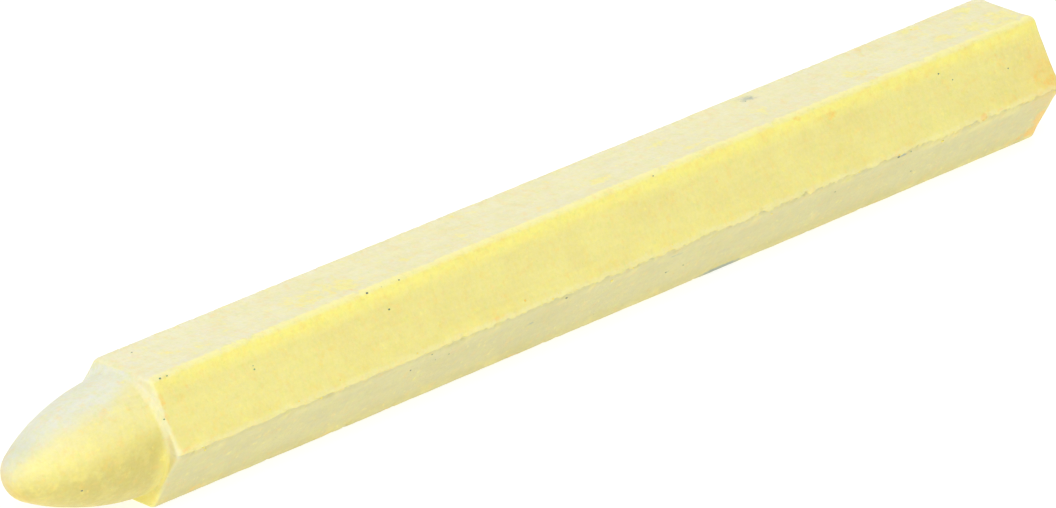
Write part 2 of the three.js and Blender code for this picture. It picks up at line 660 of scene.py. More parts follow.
    def _fillet(self, at: Spot) -> Wire:
        """The wax that fills the crease between nose and shoulder, wide on the upper half and narrow below.

        Args:
            at: the place on the ideal stick.

        Returns:
            The move that carries each point of the sharp crease onto the fillet's arc, in metres.
        """
        fillet = self.board.mix(at.up.ramp(-1.0, 3.0), self.relief.lower_fillet, self.relief.upper_fillet)
        ahead = at.ahead.at_most(fillet).at_least(0.0)
        outside = (at.radius - self.mm.root_radius).at_most(fillet).at_least(0.0)
        turn = (1.0 + (ahead - outside) / fillet) * (math.pi / 4)
        forward = fillet * (1.0 - turn.cos()) - ahead
        outward = (fillet * (1.0 - turn.sin()) - outside) * outside.ramp(0.4, 0.1)
        move = self.board.vector(-forward, outward * at.y / at.radius, outward * at.up / at.radius)
        return move.scaled(at.past_shoulder(0.5, 0.1) * MM)

    def _mismatch(self, at: Spot, parting: Wire, on_body: Wire) -> Wire:
        """How far the upper half of the mould sat to one side of the lower one, in metres."""
        upper = parting.ramp(-0.05, 0.05) - 0.5
        beside = at.to_side_edge(1.4, 0.3)
        return self.board.vector(0.0, upper * beside * on_body * (-self.relief.half_mismatch * MM), 0.0)


class Face(Enum):
    """A side of the hexagon, by the direction it faces around the centre line, in degrees from +Y to +Z."""

    BACK_UPPER = 30
    TOP = 90
    FRONT_UPPER = 150
    FRONT_LOWER = 210
    UNDER = 270
    BACK_LOWER = 330


class Stain(Enum):
    """What a mark on the wax is, and the mesh attribute that carries it."""

    SCUFF = "scuff"
    ORANGE = "orange"
    RUB = "rub"


@dataclass(frozen=True)
class Marks:
    """The soft marks of one kind on one side of the stick.

    Each row is a mark, in millimetres: how far along from the shoulder its middle is, how far down across the
    face from the face's middle towards the next face on (from the far edge to the near one on top, and on
    downwards over the front), its length and its width. Its strength and its slant follow where they aren't 1
    and 0.
    """

    stain: Stain
    face: Face
    rows: tuple[tuple[float, ...], ...]

    def weight(self, points: np.ndarray, mm: StickSizes) -> np.ndarray:
        """How strongly the marks show at each point.

        Args:
            points: the mesh's points, in millimetres.
            mm: the stick's sizes, in millimetres.

        Returns:
            A weight for each point, 0 where there is no mark.
        """
        cosine, sine = math.cos(math.radians(self.face.value)), math.sin(math.radians(self.face.value))
        across, up = points[:, 1], points[:, 2] - mm.axis_height
        along, down = points[:, 0] - mm.shoulder_x, up * cosine - across * sine
        on_face = across * cosine + up * sine > mm.axis_height - 0.7
        return sum(self._one(along, down, *row) for row in self.rows) * on_face

    @staticmethod
    def _one(along: np.ndarray, down: np.ndarray, middle: float, drop: float, length: float, width: float,
             strength: float = 1.0, slant: float = 0.0) -> np.ndarray:
        """One mark's weight: its strength at the middle, fading over its length and width."""
        aside = (along - middle - slant * (down - drop)) / (length / 2)
        return strength * np.exp(-aside ** 2 - ((down - drop) / (width / 2)) ** 2)


MARKS = (
    Marks(Stain.SCUFF, Face.TOP, ((76.4, -2.2, 2.6, 1.6, 0.8, 0.6),)),
    Marks(Stain.SCUFF, Face.FRONT_UPPER, (
        (94.6, -1.7, 1.4, 0.6, 0.25), (96.0, -0.2, 1.0, 0.8, 0.25), (101.8, 0.3, 1.6, 0.9, 0.22),
        (105.0, -1.6, 1.2, 0.8, 0.3))),
    Marks(Stain.SCUFF, Face.FRONT_LOWER, (
        (42.0, -0.9, 1.4, 0.5, 1.0, 0.9), (59.2, -2.1, 2.6, 0.6, 0.8, 0.6), (59.0, -0.1, 0.8, 0.5, 0.8, 0.8),
        (56.2, -1.1, 0.9, 0.5, 0.45), (67.2, 2.9, 6.4, 0.7, 1.3, 0.3), (86.9, -3.0, 1.2, 0.5, 1.0, 0.5),
        (89.9, 0.5, 1.1, 0.8, 0.6, 0.5), (98.2, -2.0, 1.0, 0.5, 0.3, 0.5))),
    Marks(Stain.SCUFF, Face.UNDER, ((46.0, -0.4, 6.0, 1.0, 0.9, 0.2), (78.0, 1.2, 3.2, 0.6, 0.9, 0.3))),
    Marks(Stain.SCUFF, Face.BACK_LOWER, ((83.0, 1.0, 1.6, 0.8, 0.8, 0.7),)),
    Marks(Stain.SCUFF, Face.BACK_UPPER, ((38.4, 0.8, 4.2, 0.7, 0.9, 0.4),)),
    Marks(Stain.ORANGE, Face.TOP, (
        (12.8, -2.4, 1.6, 1.0, 0.7, 0.5), (24.2, 2.2, 1.8, 1.2, 0.7, 0.5), (87.2, 2.6, 1.6, 1.2, 0.7),
        (90.3, -2.5, 2.2, 1.0, 0.6))),
    Marks(Stain.ORANGE, Face.FRONT_UPPER, (
        (105.8, 1.8, 4.4, 3.2, 0.75), (101.2, -1.0, 3.6, 1.6, 0.6), (105.2, -0.7, 1.6, 1.2, 0.7),
        (97.2, 3.0, 1.4, 0.7, 1.2), (99.0, 3.0, 1.2, 0.5, 0.8), (90.8, -1.0, 1.6, 1.4, 0.6),
        (80.2, -2.2, 2.6, 1.0, 0.8), (76.4, -2.9, 2.0, 0.7, 0.6), (84.8, -2.8, 2.2, 0.8, 0.6),
        (65.3, -0.7, 1.2, 0.8, 0.6), (58.6, 1.9, 1.6, 1.0, 0.6), (44.4, 1.2, 1.2, 0.8, 0.6),
        (37.0, 2.9, 2.6, 0.7, 0.7), (51.5, 2.9, 2.0, 0.6, 0.5), (17.4, 2.9, 1.8, 0.6, 0.6),
        (3.6, -1.6, 3.4, 2.4, 0.6), (0.4, -1.0, 0.6, 3.6, 0.9), (1.4, 2.9, 2.2, 0.7, 0.8))),
    Marks(Stain.ORANGE, Face.FRONT_LOWER, (
        (106.5, 0.9, 2.2, 4.6, 1.3), (104.6, 2.4, 3.6, 1.0, 0.7), (5.0, 2.6, 3.2, 0.7, 0.9),
        (19.4, 2.8, 1.6, 0.6, 0.7), (24.0, -1.6, 1.0, 0.7, 0.6), (26.0, 2.8, 3.6, 0.6, 0.7),
        (41.2, 2.8, 2.4, 0.6, 0.7))),
    Marks(Stain.ORANGE, Face.BACK_LOWER, ((52.0, -0.6, 3.0, 0.9, 0.7, 0.6),)),
    Marks(Stain.ORANGE, Face.BACK_UPPER, ((71.0, 1.4, 2.4, 1.6, 0.7, 0.4), (22.0, -2.2, 2.0, 0.9, 0.7))),
    Marks(Stain.RUB, Face.TOP, (
        (5.2, 0.1, 1.6, 1.2, 0.6, 0.5), (7.6, 1.0, 1.6, 1.0, 0.6, 0.5), (20.0, 0.7, 5.2, 2.6, 0.9, 0.7),
        (24.4, 0.7, 3.4, 2.8, 0.9, 0.7), (31.8, 0.8, 1.8, 0.8, 0.9, 0.8), (38.6, 0.6, 2.6, 2.0, 0.5, 0.7),
        (41.0, -2.3, 2.8, 0.8, 0.7, 0.5), (47.4, 1.8, 1.6, 1.0, 0.6, 0.7), (54.8, 0.9, 2.4, 1.0, 1.2, 0.8),
        (62.6, -2.3, 1.6, 0.8, 0.7, 0.6), (64.0, -0.9, 1.8, 0.8, 1.1, 0.8), (66.0, 1.6, 5.6, 1.8, 0.6, 0.6),
        (75.2, 0.4, 2.0, 1.6, 0.8, 0.6), (87.0, 0.7, 3.6, 1.8, 0.9, 0.8), (98.4, 0.9, 2.4, 1.2, 1.0, 0.7),
        (97.6, -2.4, 2.6, 0.8, 0.8, 0.5), (102.2, 1.1, 2.4, 1.8, 1.0, 0.7), (104.2, -2.0, 2.4, 1.2, 1.0, 0.7),
        (105.2, 1.0, 2.2, 1.8, 1.1, 0.7), (103.8, 2.6, 3.6, 1.0, 1.2, 0.7))),
    Marks(Stain.RUB, Face.UNDER, (
        (30.0, 0.4, 9.0, 2.4, 0.8, 0.4), (66.0, -0.8, 7.0, 2.0, 0.8, 0.5), (92.0, 0.3, 8.0, 3.0, 0.9, 0.4))),
)


class Finish:
    """A procedural material, with its patterns on object coordinates in millimetres."""

    name = "finish"

    def sockets(self, place: Wire) -> dict[str, object]:
        """The surface shader's sockets: a value or a wire by each name."""
        raise NotImplementedError

    def material(self) -> bpy.types.Material:
        """Build the material: one surface shader, on what `sockets` says."""
        made = bpy.data.materials.new(self.name)
        made.use_nodes = True
        made.node_tree.nodes.clear()
        board = Board(made.node_tree)
        place = board.add("ShaderNodeTexCoord", None, None, "Object").scaled(1 / MM)
        surface = board.add("ShaderNodeBsdfPrincipled", None, self.sockets(place))
        board.node("ShaderNodeOutputMaterial", None, {"Surface": surface})
        return made


@dataclass(frozen=True)
class WaxFinish(Finish):
    """Yellow marking wax: a pale bloomed film on the flats that is partly painted sheen, rubbed bright edges,
    grain, flecks, specks and scuffs, and painted highlights and shade.
    """

    mm: StickSizes
    name: str = "marking_wax"
    yellow: Colour = srgb("f4ea94")
    shade: Colour = srgb("f0e48f")
    # Pale film: wax bloom in part and painted sheen in part; also laid on as a painted highlight and a painted
    # reflection.
    bloom: Colour = srgb("f6f4de")
    # Colour of the painted sheen on the nose.
    frost: Colour = srgb("ebeede")
    # Painted shade on the lower faces.
    dull: Colour = srgb("c4c19e")
    # A deeper yellow, laid on as painted shade under the stick and under the nose.
    deep: Colour = srgb("d8ca72")
    rubbed: Colour = srgb("fff48a")
    # Painted highlight along the crest of the rubbed edge.
    crest: Colour = srgb("fffbd6")
    orange: Colour = srgb("fccf68")
    green: Colour = srgb("dfe48a")
    speck: Colour = srgb("4f7468")
    # Grey of the scuffs; also laid on as painted shadow in the parting step and as the greyer painted sheen at
    # the tip.
    scuff: Colour = srgb("93a6a4")

    def sockets(self, place: Wire) -> dict[str, object]:
        """The wax, from its even yellow to what lies on it, with a little depth and sheen.

        Args:
            place: where the surface is, in millimetres.

        Returns:
            A value or a wire for each socket that the wax sets.
        """
        at = Spot(place, self.mm)
        body = at.past_shoulder(-0.02, 0.1)
        worn = self._worn(at) * body
        flecks = self._flecks(at, body)
        colour = at.board.blend(place.noise(0.3, 3.0, seed=1.0).ramp(0.35, 0.7), self.yellow, self.shade)
        colour = self._bloom_sheen_and_shade(at, colour, body)
        warm = place.noise(0.7, 3.0, 0.6, 10.0).ramp(0.45, 0.68) * 0.18
        # Painted highlight: a cream line along the crest, laid into the rubbed edge's fresh wax colour.
        crest = at.up.ramp(self.mm.axis_height - 0.3, self.mm.axis_height) * worn * 0.32
        fresh = at.board.blend(warm, self.rubbed, self.orange).blend(crest, self.crest)
        colour = self._shouldered(at, colour.blend(worn.at_least(flecks), fresh))
        colour = self._parted(at, self._oranged(at, colour))
        colour, dark = self._specked(at, self._grained(at, colour))
        roughness = 0.5 + (place.noise(1.4, 3.0) - 0.5) * 0.16 - worn * 0.08 + dark * 0.1
        return {"Base Color": self._scuffed(at, colour), "Roughness": roughness,
                "Normal": self._bump(at, flecks), "IOR": 1.46, "Subsurface Weight": 0.25,
                "Subsurface Radius": (1.0, 0.75, 0.3), "Subsurface Scale": 0.9 * MM,
                "Sheen Weight": 0.12, "Sheen Roughness": 0.4}

    def _worn(self, at: Spot) -> Wire:
        """Where the long edges are rubbed bright: crisp and torn towards the top, fading over the sides."""
        mix = at.board.mix
        top_side = at.up.ramp(self.mm.axis_height - 0.3, self.mm.axis_height - 0.03)
        torn = (at.place.noise(1.5, 4.0, 0.65, 2.0) - 0.5) * mix(top_side, 0.14, 0.5)
        edge = self.mm.corner_reach - at.edge_reach() + torn
        near_edge = at.up.ramp(0.6, 2.6) * at.y.ramp(1.0, -1.0)
        patchy = at.place.noise(0.35, 3.0, 0.6, 6.0).ramp(0.5, 0.68)
        amount = near_edge * (0.55 + at.past_shoulder(0.0, 9.0) * 0.45)
        amount = amount + (1.0 - near_edge) * (0.06 + patchy * 0.4)
        return edge.ramp(mix(top_side, 0.85, 0.15), mix(top_side, 0.05, 0.0)) * amount

    def _flecks(self, at: Spot, body: Wire) -> Wire:
        """Small smudges where the pale bloomed film is rubbed off, in patches and thicker towards the butt."""
        butt_end = at.to_butt(24.0, 0.0) * at.up.ramp(0.0, self.mm.axis_height)
        clusters = at.place.noise(0.16, 2.0, seed=5.0).ramp(0.5, 0.72) * 0.04 + butt_end * 0.06
        flakes = at.place.noise(1.5, 4.0, 0.65, 9.0)
        patches = at.board.painted(Stain.RUB.value) * 0.27
        return (flakes + (patches + clusters) * body).ramp(0.58, 0.76) * 0.66

    def _bloom_sheen_and_shade(self, at: Spot, colour: Wire, body: Wire) -> Wire:
        """Lay the pale film, bloomed wax in part and painted sheen in part, on the top and the far side, and
        paint shade on the lower sides, darker towards the underside.
        """
        cloudy = at.place.noise(0.5, 4.0, 0.6, 14.0)
        thin = 0.85 + (cloudy - 0.5) * 0.7 + (at.place.noise(2.2, 3.0, 0.6, 15.0) - 0.5) * 0.5
        top = at.up.ramp(self.mm.axis_height - 0.35, self.mm.axis_height - 0.05) * body
        far = at.y.ramp(2.0, 4.0) * at.up.ramp(-0.5, 1.5) * cloudy.ramp(0.35, 0.7) * body
        # Painted shade: the lower faces, under the parting line, turn greyer.
        below = at.board.painted(PARTING).ramp(0.03, -0.06) * at.to_butt(0.2, 0.9) * body
        near_root = at.past_shoulder(30.0, 0.0)
        shaded_low = colour.blend(below * thin * 0.6, self.dull)
        # Painted shade: darker still towards the underside.
        shaded_low = shaded_low.blend(at.up.ramp(-3.8, -5.4) * body * 0.3, self.deep)
        # Pale film on the top and the far side: wax bloom in part, painted sheen in part.
        amount = (top * (0.6 + near_root * 0.12) + far * (0.3 + near_root * 0.4)) * thin
        return self._nose_sheen_and_shade(at, shaded_low.blend(amount, self.bloom), cloudy, 1.0 - body)

    def _nose_sheen_and_shade(self, at: Spot, colour: Wire, cloudy: Wire, on_nose: Wire) -> Wire:
        """Paint sheen on the nose's far upper side, down to a ragged border, and a fainter painted sheen below
        it;
        lighten it in patches and towards the tip, and paint shade on its underside and next to the shoulder.

        Args:
            at: the place on the wax.
            colour: the colour so far.
            cloudy: the noise that the border follows.
            on_nose: 1 on the nose and 0 on the body.

        Returns:
            The colour with the painted sheen and shade on it.
        """
        border = at.y * 0.87 + at.up * 0.5 + (cloudy - 0.5) * 2.4
        # Painted sheen: a pale reflection over the far upper side of the nose, held back near the shoulder.
        frost = (border - at.ahead.ramp(5.5, 0.0)).ramp(-0.9, 1.4)
        frost = frost * (0.3 + (at.up - at.y * 0.2).ramp(-2.6, 1.4) * 0.7)
        # A fainter painted sheen below that border, in the pale film's colour.
        faint_sheen = border.ramp(-3.6, 0.2) * at.up.ramp(-1.0, 1.0)
        # Painted shade: under the nose and on its near side next to the shoulder.
        shade = (at.up + at.y * 0.25 - at.ahead.ramp(7.0, 1.0) * 0.9).ramp(1.2, -1.8)
        patches = at.place.noise(0.7, 4.0, 0.65, 16.0).ramp(0.46, 0.66) * 0.3
        at_tip = at.to_tip(8.0, 2.0) * 0.5
        colour = colour.blend((patches + at_tip) * on_nose, self.rubbed)
        colour = colour.blend(shade * on_nose * (1.05 - patches - at_tip * 0.5), self.deep)
        colour = colour.blend(faint_sheen * on_nose * 0.26, self.bloom)
        # The painted sheen turns greyer towards the tip.
        sheen_tint = at.board.blend(at.to_tip(4.5, 0.0) * 0.24, self.frost, self.scuff)
        return colour.blend(frost * on_nose * 0.8, sheen_tint)

    def _shouldered(self, at: Spot, colour: Wire) -> Wire:
        """Paint a pale reflection on the shoulder's land and rim, keep the wax bright in the crease behind the
        nose, and paint light into the crease low down, where it lies in shade.
        """
        root, mix = self.mm.root_radius, at.board.mix
        # Painted reflection: the shoulder's land and rim turn paler, most on the near side.
        outside = at.radius.ramp(root - 0.35, root + 0.1) * abs(at.ahead - 0.05).ramp(0.6, 0.1)
        front = mix(at.y.ramp(-0.5, -2.5), 0.1, 0.42)
        pale = colour.blend(outside * front * mix(at.up.ramp(-1.5, 0.5), 0.3, 1.0), self.bloom)
        crease = at.ahead.ramp(1.6, 0.2) * at.ahead.ramp(-0.1, 0.0) * (root + 0.3 - at.radius).ramp(0.0, 0.2)
        crease = crease * at.up.ramp(2.4, -0.5) * at.y.ramp(1.0, -2.5) * 0.6
        # Painted light: brightens the low crease, which lies in shade.
        low = at.up.ramp(-3.0, -4.6) * abs(at.ahead).ramp(0.4, 0.1) * at.y.ramp(3.0, 0.0) * 0.7
        return pale.blend(crease.at_least(low), self.rubbed)

    def _oranged(self, at: Spot, colour: Wire) -> Wire:
        """Lay on the deeper orange, in stains, low on the tip and beside the butt."""
        stains = at.board.painted(Stain.ORANGE.value)
        ragged = (at.place.noise(1.2, 4.0, 0.65, 21.0) * 1.4 + stains * 0.5).ramp(0.9, 1.35)
        tip = at.to_tip(5.5, 0.0) * (at.up - at.y).ramp(1.2, -1.0)
        blush = at.to_butt(5.5, 0.5) * at.y.ramp(-3.4, -5.6) * at.up.ramp(-3.0, -0.5)
        amount = ragged * stains.ramp(0.05, 0.4) * 0.85 + tip * 0.3 + blush * 0.35
        return colour.blend(amount.at_most(1.0), self.orange)

    def _parted(self, at: Spot, colour: Wire) -> Wire:
        """Paint a highlight on the lip above the mould's parting line and a broken painted shadow in the step
        under it.
        """
        above = at.board.painted(PARTING)
        beside = at.to_side_edge(0.9, 0.4)
        # Painted highlight on the lip above the parting line.
        lip = above.ramp(0.55, 0.25) * above.ramp(0.0, 0.1) * beside
        # Painted shadow in the step under the lip, broken up, in the scuffs' grey.
        step = abs(above + 0.05).ramp(0.14, 0.02) * beside
        broken = at.place.noise(0.9, 3.0, 0.6, 17.0).ramp(0.45, 0.75) * 0.34
        return colour.blend(lip * 0.16, self.bloom).blend(step * broken, self.scuff)

    def _grained(self, at: Spot, colour: Wire) -> Wire:
        """Mottle the colour with fine grain, tints of orange and green, and faint streaks along the stick."""
        grain = at.place.noise(3.2, 4.0, 0.7, 25.0)
        streaks = at.board.vector(at.x * 0.12, at.y, at.z).noise(2.2, 3.0, 0.6, 27.0)
        light = 1.0 + (grain - 0.5) * 0.16 + (streaks - 0.5) * 0.1
        warm = at.place.noise(1.0, 5.0, 0.75, 29.0).ramp(0.48, 0.74)
        cool = at.place.noise(1.3, 5.0, 0.75, 30.0).ramp(0.48, 0.74)
        tinted = colour.blend(warm * 0.34, self.orange).blend(cool * 0.42, self.green)
        chroma = (at.place.noise(2.0, 4.0, 0.7, 31.0) - 0.5) * 0.75
        return tinted.blend(1.0, at.board.vector(light, light, light + chroma), "MULTIPLY")

    def _specked(self, at: Spot, colour: Wire) -> tuple[Wire, Wire]:
        """Scatter tiny dark specks of foreign pigment.

        Args:
            at: the place on the wax.
            colour: the colour so far.

        Returns:
            The colour with the specks in it, and where they are.
        """
        per_mm = 0.34
        cells = at.board.node("ShaderNodeTexVoronoi", None, {"Vector": at.place, "Scale": per_mm})
        pick, size, _ = at.board.out(cells, "Color").parts()
        ragged = (at.place.noise(5.0, 2.0) - 0.5) * 0.1
        radius = pick.ramp(0.8, 1.0, smooth=False) * (0.06 + size * 0.12)
        dark = (at.board.out(cells, "Distance") / per_mm + ragged).ramp(radius, radius * 0.4)
        return colour.blend(dark * 0.85, self.speck), dark

    def _scuffed(self, at: Spot, colour: Wire) -> Wire:
        """Lay on the grey scuffs, broken up into short strokes."""
        scuffs = at.board.painted(Stain.SCUFF.value)
        strokes = at.board.vector(at.x * 0.45, at.y, at.z).noise(2.6, 4.0, 0.7, 33.0)
        amount = (strokes * 0.7 + scuffs * 0.5).ramp(0.55, 0.85) * scuffs.ramp(0.03, 0.4)
        return colour.blend(amount * 0.75, self.scuff)

    def _bump(self, at: Spot, flecks: Wire) -> Wire:
        """The surface too fine for the mesh: grain, pin holes and lengthwise drag lines."""
        per_mm = 1.3
        grain = at.place.noise(3.5, 5.0, 0.65, 41.0)
        drag = at.board.vector(at.x * 0.08, at.y, at.z).noise(5.0, 3.0, 0.6, 43.0)
        pores = at.board.node("ShaderNodeTexVoronoi", None, {"Vector": at.place, "Scale": per_mm})
        pick, _, _ = at.board.out(pores, "Color").parts()
        pits = (at.board.out(pores, "Distance") / per_mm).ramp(0.16, 0.04) * pick.ramp(0.6, 0.9)
        return at.board.bump(grain * 0.9 + drag * 0.35 - pits * 0.6 - flecks * 0.3, 0.9, 0.045)


@dataclass(frozen=True)
class CrumbFinish(Finish):
    """Loose wax: the stick's yellow, fresh and a little deeper."""

    name: str = "wax_crumb"
    pale: Colour = srgb("fbec7c")
    deep: Colour = srgb("f8cf62")

    def sockets(self, place: Wire) -> dict[str, object]:
        """The crumbs' sockets: from pale to deep by place, with a grainy surface."""
        grain = place.noise(8.0, 3.0, 0.6)
        colour = place.board.blend(place.noise(0.5, 2.0, seed=3.0).ramp(0.42, 0.68), self.pale, self.deep)
        return {"Base Color": colour, "Roughness": 0.45 + (grain - 0.5) * 0.2,
                "Normal": place.board.bump(grain, 0.6, 0.02), "IOR": 1.46, "Subsurface Weight": 0.2,
                "Subsurface Radius": (1.0, 0.75, 0.3), "Subsurface Scale": 0.4 * MM}


@dataclass(frozen=True)
class GrainFinish(Finish):
    """Grains of foreign pigment, from blue-green to near black."""

    name: str = "pigment_grain"
    light: Colour = srgb("8cb083")
    dark: Colour = srgb("66756a")

    def sockets(self, place: Wire) -> dict[str, object]:
        """The grains' sockets: a colour of its own for each place on the stick, and a rough surface."""
        rough = place.noise(9.0, 3.0, 0.6)
        colour = place.board.blend(place.noise(0.8, 3.0, seed=5.0).ramp(0.38, 0.62), self.dark, self.light)
        return {"Base Color": colour, "Roughness": 0.6 + (rough - 0.5) * 0.2,
                "Normal": place.board.bump(rough, 0.5, 0.02)}


@dataclass(frozen=True)
class PaperFinish(Finish):
    """The pale sheet under the crayon, which glows a little, as a lit table does."""

    name: str = "pale_floor"
    pale: Colour = srgb("adadac")
    glow: float = 0.72

    def sockets(self, place: Wire) -> dict[str, object]:
        """The sheet's sockets: plain and matt."""
        return {"Base Color": self.pale, "Roughness": 0.9, "Specular IOR Level": 0.1,
                "Emission Color": (1.0, 1.0, 1.0, 1.0), "Emission Strength": self.glow}


def hand_over(piece: bpy.types.Object, stands_for: str | None = None) -> None:
    """Enter a finished piece with the frame, and log its name and its number of faces.

    Args:
        piece: the piece, which rides on the crayon's one body.
        stands_for: the CAD node that it takes the place of, if any.
    """
    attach(piece, BODY)
    if stands_for:
        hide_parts(stands_for)
    LOG.info("%s: %d faces", piece.name, len(piece.data.polygons))


def read_points(mesh: bpy.types.Mesh, name: str = "co") -> np.ndarray:
    """Each point's place, or another vector of it, as rows of three numbers."""
    values = np.empty(len(mesh.vertices) * 3, np.float32)
    mesh.vertices.foreach_get(name, values)
    return values.reshape(-1, 3)


@dataclass
class Stick:
    """The moulded stick: its sizes, its surface and its marks."""

    sizes: StickSizes
    relief: Relief = field(default_factory=Relief)
    facets: Facets = field(default_factory=Facets)
    marks: tuple[Marks, ...] = MARKS

    def build(self) -> bpy.types.Object:
        """Grow the stick in the place of its CAD node.

        Returns:
            The stick's object.
        """
        wax = WaxFinish(self.sizes.in_millimetres()).material()
        stick = StickTree(self.sizes, self.relief, self.facets, wax).grow("wax_stick")
        self._paint(stick.data)
        hand_over(stick, NODE)
        return stick

    def _paint(self, mesh: bpy.types.Mesh) -> None:
        """Store each kind of mark on the mesh, as an attribute of its points."""
        points, mm = read_points(mesh) / MM, self.sizes.in_millimetres()
        for stain in Stain:
            total = sum(marks.weight(points, mm) for marks in self.marks if marks.stain is stain)
            layer = mesh.attributes.new(stain.value, "FLOAT", "POINT")
            layer.data.foreach_set("value", np.minimum(total, 1.5).astype(np.float32))


@dataclass
class Crumbs:
    """Crumbs of wax that cling to the stick, most of them along its edges and towards the butt."""

    sizes: StickSizes
    per_square_metre: float = 400_000.0
    smallest: float = 0.05 * MM
    largest: float = 0.17 * MM

    def build(self, stick: bpy.types.Object) -> bpy.types.Object:
        """Scatter the crumbs over the grown stick.

        Args:
            stick: the stick that they cling to.

        Returns:
            The crumbs' object.
        """
        maker = TreeMaker("crumbs")
        board = maker.board
        density = maker.input("Crumbs Per Square Metre", self.per_square_metre)
        smallest = maker.input("Smallest", self.smallest)
        largest = maker.input("Largest", self.largest)
        seed = maker.input("Seed", 12, "Int")
        material = maker.input("Wax", CrumbFinish().material(), "Material")
        density = density * self._likely(maker)
        scatter = board.node("GeometryNodeDistributePointsOnFaces", None,
                             {"Mesh": board.out(maker.entry, "Geometry"), "Density": density, "Seed": seed})
        size = self._random(board, smallest, largest, 1)
        scale = board.vector(size * self._random(board, 0.8, 1.5, 2), size * self._random(board, 0.7, 1.1, 3),
                             size * 0.6)
        lumps = maker.lumps(board.out(scatter, "Points"), board.out(scatter, "Rotation"), scale, 0.12)
        maker.close(lumps, material)
        crumbs = maker.grow("wax_crumbs", stick.data.copy())
        hand_over(crumbs)
        return crumbs

    @staticmethod
    def _random(board: Board, low: Value, high: Value, seed: int) -> Wire:
        """A number of its own for each crumb, from `low` to `high`."""
        sockets = {"Min_001": low, "Max_001": high, "Seed": seed}
        return board.add("FunctionNodeRandomValue", {"data_type": "FLOAT"}, sockets, "Value_001")

    def _likely(self, maker: TreeMaker) -> Wire:
        """How likely a crumb is at a place: along the edges, in clusters, and above all near the butt."""
        mm = self.sizes.in_millimetres()
        at = maker.spot(mm)
        clusters = at.place.noise(0.25, 2.0, seed=8.0).ramp(0.5, 0.75)
        clear = at.up.ramp(0.15 - mm.axis_height, 0.4 - mm.axis_height)
        near_edge = at.to_side_edge(0.5, 0.0) * (0.25 + clusters * 0.6)
        return (near_edge + clusters * at.to_butt(50.0, 0.0) * 0.1) * at.past_shoulder(0.0, 1.0) * clear


PIGMENT = {
    Face.FRONT_UPPER: (
        (0.0, -0.1, 0.07), (1.2, -3.2, 0.10), (1.9, -3.2, 0.07), (10.7, -0.9, 0.08), (10.6, -1.3, 0.05),
        (26.5, -1.4, 0.09), (24.9, -3.2, 0.10), (28.5, -3.2, 0.07), (59.0, -3.1, 0.07), (94.1, -1.8, 0.08),
        (95.3, -0.9, 0.06), (102.0, 0.1, 0.06)),
    Face.FRONT_LOWER: (
        (27.5, -1.6, 0.08), (29.3, -2.8, 0.08), (30.3, -1.5, 0.06), (32.0, -1.4, 0.07), (45.4, -2.8, 0.10),
        (59.0, 0.0, 0.08), (61.0, -0.1, 0.06), (79.0, -1.5, 0.07), (86.4, -3.0, 0.12), (88.0, -3.0, 0.07),
        (89.8, 0.4, 0.07), (-8.65, -0.9, 0.08)),
    Face.TOP: ((3.0, -1.9, 0.06), (76.0, -2.0, 0.06)),
    Face.BACK_UPPER: ((33.0, 0.9, 0.08), (81.5, -1.2, 0.07)),
    Face.BACK_LOWER: ((60.0, 1.4, 0.08),),
    Face.UNDER: ((51.0, 0.6, 0.08), (14.0, -1.0, 0.07)),
}


@dataclass(frozen=True)
class Grain:
    """One dark grain of pigment pressed into the wax, placed as a mark is, in millimetres."""

    face: Face
    along: float
    down: float
    size: float

    def query(self, mm: StickSizes) -> np.ndarray:
        """The place on the ideal stick that the grain is nearest to, in metres."""
        cosine, sine = math.cos(math.radians(self.face.value)), math.sin(math.radians(self.face.value))
        across = mm.axis_height * cosine - self.down * sine
        up = mm.axis_height * sine + self.down * cosine
        return np.array((mm.shoulder_x + self.along, across, mm.axis_height + up), np.float32) * MM


@dataclass
class Grains:
    """The dark grains that show in the stick's surface."""

    sizes: StickSizes
    grains: tuple[Grain, ...] = tuple(Grain(face, *row) for face, rows in PIGMENT.items() for row in rows)

    def build(self, stick: bpy.types.Object) -> bpy.types.Object:
        """Press the grains into the grown stick.

        Args:
            stick: the stick that holds them.

        Returns:
            The grains' object.
        """
        maker = TreeMaker("grains")
        board = maker.board
        flatness = maker.input("Flatness", 0.45)
        material = maker.input("Pigment", GrainFinish().material(), "Material")
        size = self._stored(board, "size", "FLOAT")
        facing = self._stored(board, "facing", "FLOAT_VECTOR")
        turn = board.add("FunctionNodeAlignRotationToVector", {"axis": "Z"}, {"Vector": facing})
        scale = board.vector(size * 1.25, size * 0.85, size * flatness)
        maker.close(maker.lumps(board.out(maker.entry, "Geometry"), turn, scale, 0.06), material)
        grains = maker.grow("pigment_grains", self._seats(stick.data))
        hand_over(grains)
        return grains

    @staticmethod
    def _stored(board: Board, name: str, kind: str) -> Wire:
        """A value stored on the points that the grains stand on."""
        return board.add("GeometryNodeInputNamedAttribute", {"data_type": kind}, {"Name": name})

    def _seats(self, stick: bpy.types.Mesh) -> bpy.types.Mesh:
        """A mesh of loose points on the stick, one for each grain, with its size and the way it faces.

        Args:
            stick: the stick's mesh.

        Returns:
            The mesh of points.
        """
        points, normals = read_points(stick), read_points(stick, "normal")
        mm = self.sizes.in_millimetres()
        nearest = [int(np.argmin(((points - grain.query(mm)) ** 2).sum(axis=1))) for grain in self.grains]
        seats = bpy.data.meshes.new("grain_seats")
        seats.from_pydata(points[nearest].tolist(), [], [])
        facing = seats.attributes.new("facing", "FLOAT_VECTOR", "POINT")
        facing.data.foreach_set("vector", normals[nearest].ravel())
        size = seats.attributes.new("size", "FLOAT", "POINT")
        size.data.foreach_set("value", [grain.size * MM for grain in self.grains])
        return seats


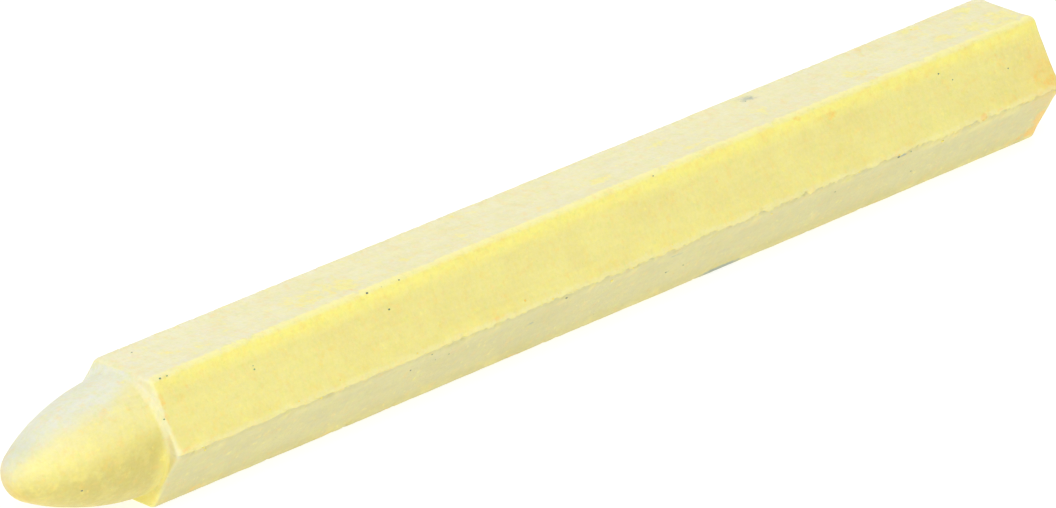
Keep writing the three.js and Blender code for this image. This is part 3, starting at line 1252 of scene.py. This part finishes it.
@dataclass(frozen=True)
class Lamp:
    """A soft square light that faces the crayon."""

    name: str
    direction: tuple[float, float, float]
    power: float
    distance: float = 0.9
    width: float = 0.6

    def build(self, target: Vector) -> None:
        """Hang the lamp in its direction from `target`, facing it."""
        light = bpy.data.lights.new(self.name, "AREA")
        light.size = self.width
        light.energy = self.power
        lamp = bpy.data.objects.new(self.name, light)
        away = Vector(self.direction).normalized()
        lamp.location = target + away * self.distance
        lamp.rotation_euler = away.to_track_quat("Z", "Y").to_euler()
        bpy.context.scene.collection.objects.link(lamp)


@dataclass
class Studio:
    """A pale floor, soft lights and the camera."""

    sizes: StickSizes
    azimuth: float = math.radians(-46.167)
    elevation: float = math.radians(23.461)
    distance: float = 0.942
    lens: float = 382.9
    aim_right: float = -4.43 * MM
    aim_up: float = -0.89 * MM
    floor_width: float = 12.0
    sky: float = 0.44
    lamps: tuple[Lamp, ...] = (
        Lamp("key_softbox", (-0.45, -0.5, 0.9), 4.5),
        Lamp("right_back_panel", (0.66, 0.42, 0.5), 1.5),
        Lamp("left_back_panel", (-0.5, 0.85, 0.25), 1.6),
    )

    def build(self) -> None:
        """Set up the floor, the lights, the sky and the camera."""
        target = Vector(((self.sizes.shoulder_x + self.sizes.butt_x) / 2, 0.0, self.sizes.axis_height))
        for lamp in self.lamps:
            lamp.build(target)
        self._floor()
        self._sky()
        self._camera(target)
        bpy.context.scene.view_settings.view_transform = "Standard"

    def _floor(self) -> None:
        """Lay the pale sheet."""
        half = self.floor_width / 2
        mesh = bpy.data.meshes.new("floor")
        corners = [(-half, -half, 0), (half, -half, 0), (half, half, 0), (-half, half, 0)]
        mesh.from_pydata(corners, [], [(0, 1, 2, 3)])
        floor = bpy.data.objects.new("floor", mesh)
        bpy.context.scene.collection.objects.link(floor)
        mesh.materials.append(PaperFinish().material())

    def _sky(self) -> None:
        """Even white light from all round."""
        world = bpy.data.worlds.new("studio")
        world.use_nodes = True
        bpy.context.scene.world = world
        background = world.node_tree.nodes["Background"]
        background.inputs["Color"].default_value = (1.0, 1.0, 1.0, 1.0)
        background.inputs["Strength"].default_value = self.sky

    def _camera(self, target: Vector) -> None:
        """Stand the camera well back, with a long lens."""
        sin_a, cos_a = math.sin(self.azimuth), math.cos(self.azimuth)
        sin_e, cos_e = math.sin(self.elevation), math.cos(self.elevation)
        back = Vector((sin_a * cos_e, -cos_a * cos_e, sin_e))
        right = Vector((cos_a, sin_a, 0.0))
        up = back.cross(right)
        data = bpy.data.cameras.new("camera")
        data.lens = self.lens
        data.clip_start = 0.01
        data.clip_end = 50.0
        camera = bpy.data.objects.new("camera", data)
        turn = Matrix((right, up, back)).transposed().to_4x4()
        place = target + right * self.aim_right + up * self.aim_up + back * self.distance
        camera.matrix_world = Matrix.Translation(place) @ turn
        bpy.context.scene.collection.objects.link(camera)
        bpy.context.scene.camera = camera


def main() -> None:
    """Build the crayon and its studio."""
    logging.basicConfig(level=logging.INFO, format="%(name)s: %(message)s")
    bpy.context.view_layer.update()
    sizes = StickSizes.from_frame()
    stick = Stick(sizes).build()
    Crumbs(sizes).build(stick)
    Grains(sizes).build(stick)
    Studio(sizes).build()


if __name__ == "__main__":
    main()
